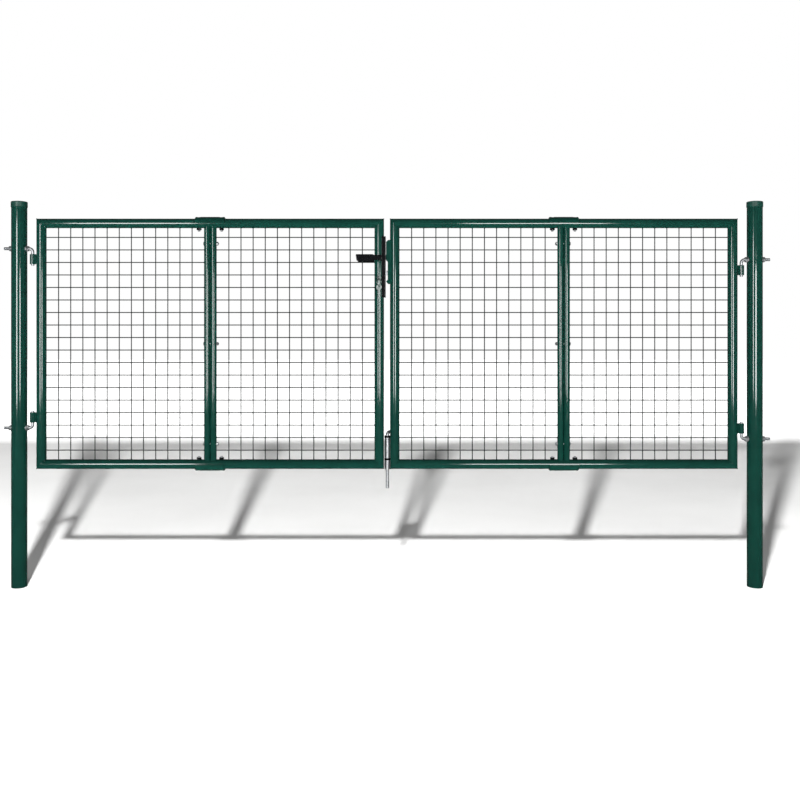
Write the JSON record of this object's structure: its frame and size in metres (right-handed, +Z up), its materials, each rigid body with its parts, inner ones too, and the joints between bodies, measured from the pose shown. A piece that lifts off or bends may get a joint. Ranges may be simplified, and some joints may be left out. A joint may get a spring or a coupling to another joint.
{
  "type": "gate",
  "caption": "Wide mesh gate with paired leaves on round posts, hook-bolt hinges, a lever lock with keys, a keeper and a drop bolt.",
  "frame": {"origin": "on the ground line of the posts' feet, midway between the two posts, in the plane of the closed leaves", "axes": "+X from the left post to the right post, +Y away from the side with the hanging keys, +Z up along the posts"},
  "size_m": [3.06, 0.1228, 1.54],
  "materials": {
    "green_powder_coat": "gloss",
    "green_wire": "satin",
    "green_plastic": "satin",
    "zinc_plate": "satin",
    "nickel_plate": "satin",
    "black_coat": "satin"
  },
  "bodies": {
    "posts": {"left_post": "green_powder_coat", "right_post": "green_powder_coat", "left_post_cap": "green_plastic", "right_post_cap": "green_plastic", "upper_left_hook": "zinc_plate", "lower_left_hook": "zinc_plate", "upper_right_hook": "zinc_plate", "lower_right_hook": "zinc_plate", "hinge_nuts": "zinc_plate", "hinge_washers": "zinc_plate"},
    "left_leaf": {"left_hinge_stile": "green_powder_coat", "left_latch_stile": "green_powder_coat", "left_outer_top_rail": "green_powder_coat", "left_inner_top_rail": "green_powder_coat", "left_outer_bottom_rail": "green_powder_coat", "left_inner_bottom_rail": "green_powder_coat", "left_outer_mid_stile": "green_powder_coat", "left_inner_mid_stile": "green_powder_coat", "left_outer_mesh": "green_wire", "left_inner_mesh": "green_wire", "left_hinge_barrels": "green_powder_coat", "left_top_sleeve": "green_powder_coat", "left_bottom_sleeve": "green_powder_coat", "left_leaf_bolts": "zinc_plate", "left_leaf_nuts": "zinc_plate", "lock_case": "black_coat", "lock_faceplate": "black_coat", "lock_screws": "zinc_plate", "lock_cylinder": "nickel_plate"},
    "right_leaf": {"right_hinge_stile": "green_powder_coat", "right_latch_stile": "green_powder_coat", "right_outer_top_rail": "green_powder_coat", "right_inner_top_rail": "green_powder_coat", "right_outer_bottom_rail": "green_powder_coat", "right_inner_bottom_rail": "green_powder_coat", "right_outer_mid_stile": "green_powder_coat", "right_inner_mid_stile": "green_powder_coat", "right_outer_mesh": "green_wire", "right_inner_mesh": "green_wire", "right_hinge_barrels": "green_powder_coat", "right_top_sleeve": "green_powder_coat", "right_bottom_sleeve": "green_powder_coat", "right_leaf_bolts": "zinc_plate", "right_leaf_nuts": "zinc_plate", "keeper": "green_powder_coat", "bolt_guide": "zinc_plate", "bolt_brackets": "black_coat"},
    "handle": {"spindle": "zinc_plate", "front_lever": "black_coat", "rear_lever": "black_coat"},
    "latch": {"latch_bolt": "black_coat"},
    "deadbolt": {"dead_bolt": "zinc_plate"},
    "key": {"key_plug": "nickel_plate", "key": "nickel_plate"},
    "key_ring": {"key_ring": "nickel_plate"},
    "spare_key": {"spare_key": "nickel_plate"},
    "drop_bolt": {"drop_bolt": "zinc_plate"}
  },
  "joints": [
    {"name": "left_leaf_swing", "type": "hinge", "parent": "posts", "child": "left_leaf", "pos_m": [-1.416, 0, 1], "axis": [0, 0, 1], "range_deg": [-95, 95]},
    {"name": "right_leaf_swing", "type": "hinge", "parent": "posts", "child": "right_leaf", "pos_m": [1.416, 0, 1], "axis": [0, 0, 1], "range_deg": [-95, 95]},
    {"name": "handle_turn", "type": "hinge", "parent": "left_leaf", "child": "handle", "pos_m": [-0.0275, 0, 1.311], "axis": [0, -1, 0], "range_deg": [0, 40], "stiffness_Nm_per_rad": 1.2, "springref_deg": -34.38},
    {"name": "latch_slide", "type": "slide", "parent": "left_leaf", "child": "latch", "axis": [-1, 0, 0], "range_m": [0, 0.008]},
    {"name": "key_turn", "type": "hinge", "parent": "left_leaf", "child": "key", "pos_m": [-0.031, 0, 1.232], "axis": [0, 1, 0], "range_deg": [0, 90]},
    {"name": "deadbolt_slide", "type": "slide", "parent": "left_leaf", "child": "deadbolt", "axis": [-1, 0, 0], "range_m": [0, 0.012]},
    {"name": "key_ring_swing", "type": "hinge", "parent": "key", "child": "key_ring", "pos_m": [-0.031, -0.0495, 1.2293], "axis": [0, -1, 0], "range_deg": [-15, 15]},
    {"name": "spare_key_swing", "type": "hinge", "parent": "key_ring", "child": "spare_key", "pos_m": [-0.031, -0.0495, 1.2013], "axis": [0, -1, 0], "range_deg": [-20, 20]},
    {"name": "drop_bolt_lift", "type": "slide", "parent": "right_leaf", "child": "drop_bolt", "axis": [0, 0, 1], "range_m": [0, 0.1]}
  ],
  "couplings": [
    {"joint": "latch_slide", "follows": "handle_turn", "m_per_rad": 0.011459},
    {"joint": "deadbolt_slide", "follows": "key_turn", "m_per_rad": 0.0076394}
  ]
}
